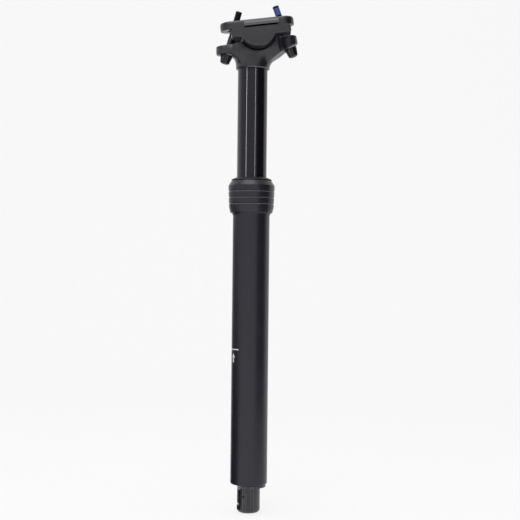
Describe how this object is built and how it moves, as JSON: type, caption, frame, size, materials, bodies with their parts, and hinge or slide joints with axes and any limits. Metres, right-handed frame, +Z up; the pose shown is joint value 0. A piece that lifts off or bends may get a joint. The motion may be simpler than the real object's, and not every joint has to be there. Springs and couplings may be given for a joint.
{
  "type": "dropper seatpost",
  "caption": "Height adjustable bicycle seatpost: anodised shaft sliding in a lower tube with a turned collar, two bolt saddle clamp on a forged head and a cable actuator at the foot.",
  "frame": {"origin": "on the post's axis where the parallel seat tube fit ends under the collar, post fully out", "axes": "+Z up the post towards the saddle, +X to the rear of the bicycle, Y across it"},
  "size_m": [0.0605, 0.055, 0.3754],
  "materials": {
    "tube_black": "black anodised, fine satin",
    "collar_black": "black anodised, turned",
    "shaft_black": "hard anodised, ground and slightly glossy",
    "head_black": "forged, blasted and black anodised",
    "clamp_black": "blasted and black anodised",
    "actuator_black": "black anodised, turned",
    "wiper_rubber": "moulded, matte",
    "ring_rubber": "moulded, smooth",
    "bumper_rubber": "moulded, matte",
    "felt_grey": "oiled felt",
    "bush_plastic": "moulded bearing plastic",
    "white_plastic": "moulded",
    "key_brass": "drawn and cut",
    "bolt_steel": "black oxide, oiled",
    "nut_steel": "turned, dark",
    "washer_steel": "turned, plain",
    "patch_blue": "dried thread lock",
    "lever_steel": "stamped, black oxide",
    "bright_steel": "turned, bright",
    "rod_chrome": "hard chromed and ground",
    "plain_alloy": "turned, plain"
  },
  "bodies": {
    "lower_post": {"outer_tube": "tube_black", "collar": "collar_black", "wiper_seal": "wiper_rubber", "grease_ring": "felt_grey", "upper_bushing": "bush_plastic", "guide_keys": "key_brass", "base_plug": "actuator_black", "plug_ring": "ring_rubber", "rod_locknut": "bright_steel", "bottom_bumper": "bumper_rubber", "piston_rod": "rod_chrome", "piston": "plain_alloy", "piston_seal": "ring_rubber", "actuator_barrel": "actuator_black", "lever_pin": "bright_steel"},
    "upper_post": {"stanchion": "shaft_black", "seat_head": "head_black", "lower_bushing": "bush_plastic", "cartridge_cylinder": "plain_alloy", "cartridge_seal_head": "plain_alloy", "seal_head_ring": "ring_rubber", "rod_seal": "ring_rubber", "cartridge_clip": "bright_steel", "top_out_washer": "white_plastic", "cartridge_cap": "plain_alloy", "cap_ring": "ring_rubber", "cartridge_nut": "bright_steel", "centring_ring": "white_plastic"},
    "float": {"floating_piston": "plain_alloy", "floating_piston_ring": "ring_rubber"},
    "clamp": {"lower_clamp": "clamp_black", "upper_clamp": "clamp_black"},
    "nut_front": {"front_nut": "nut_steel"},
    "nut_rear": {"rear_nut": "nut_steel"},
    "bolt_front": {"front_bolt": "bolt_steel", "front_washer": "washer_steel"},
    "bolt_rear": {"rear_bolt": "bolt_steel", "rear_washer": "washer_steel", "bolt_patch": "patch_blue"},
    "lever": {"release_lever": "lever_steel"},
    "wire_barrel": {"cable_barrel": "bright_steel", "barrel_screw": "bolt_steel"},
    "valve_pin": {"release_pin": "bright_steel"}
  },
  "joints": [
    {"name": "post_drop", "type": "slide", "parent": "lower_post", "child": "upper_post", "axis": [0, 0, 1], "range_m": [-0.08, 0], "stiffness_N_per_m": 250, "springref_m": 0.3},
    {"name": "float_slide", "type": "slide", "parent": "upper_post", "child": "float", "axis": [0, 0, 1], "range_m": [0, 0.0262]},
    {"name": "clamp_tilt", "type": "hinge", "parent": "upper_post", "child": "clamp", "pos_m": [0.00345, 0, 0.1347], "axis": [0, 1, 0], "range_deg": [-6, 6]},
    {"name": "nut_front_turn", "type": "hinge", "parent": "clamp", "child": "nut_front", "pos_m": [-0.01283, 0, 0.14331], "axis": [0, 1, 0], "range_deg": [-5.3, 5.3]},
    {"name": "nut_rear_turn", "type": "hinge", "parent": "clamp", "child": "nut_rear", "pos_m": [0.01956, 0, 0.147], "axis": [0, 1, 0], "range_deg": [-4.8, 4.8]},
    {"name": "bolt_front_swing", "type": "hinge", "parent": "upper_post", "child": "bolt_front", "pos_m": [-0.01936, 0, 0.11932], "axis": [0, 1, 0], "range_deg": [-1.1, 1.1]},
    {"name": "bolt_rear_swing", "type": "hinge", "parent": "upper_post", "child": "bolt_rear", "pos_m": [0.02784, 0, 0.1247], "axis": [0, 1, 0], "range_deg": [-1.6, 1.6]},
    {"name": "lever_turn", "type": "hinge", "parent": "lower_post", "child": "lever", "pos_m": [-0.0036, 0, -0.2063], "axis": [0, -1, 0], "range_deg": [0, 28]},
    {"name": "wire_barrel_turn", "type": "hinge", "parent": "lever", "child": "wire_barrel", "pos_m": [-0.0065, 0, -0.20035], "axis": [0, -1, 0], "range_deg": [-28, 0]},
    {"name": "valve_pin_lift", "type": "slide", "parent": "lower_post", "child": "valve_pin", "axis": [0, 0, 1], "range_m": [0, 0.00133], "stiffness_N_per_m": 400, "springref_m": -0.004}
  ],
  "couplings": [
    {"joint": "float_slide", "follows": "post_drop", "ratio": -0.32653},
    {"joint": "nut_front_turn", "follows": "clamp_tilt", "ratio": -0.8397},
    {"joint": "nut_rear_turn", "follows": "clamp_tilt", "ratio": -0.7528},
    {"joint": "bolt_front_swing", "follows": "clamp_tilt", "ratio": 0.1603},
    {"joint": "bolt_rear_swing", "follows": "clamp_tilt", "ratio": 0.2472},
    {"joint": "wire_barrel_turn", "follows": "valve_pin_lift", "rad_per_m": -314.47},
    {"joint": "lever_turn", "follows": "valve_pin_lift", "rad_per_m": 314.47}
  ]
}
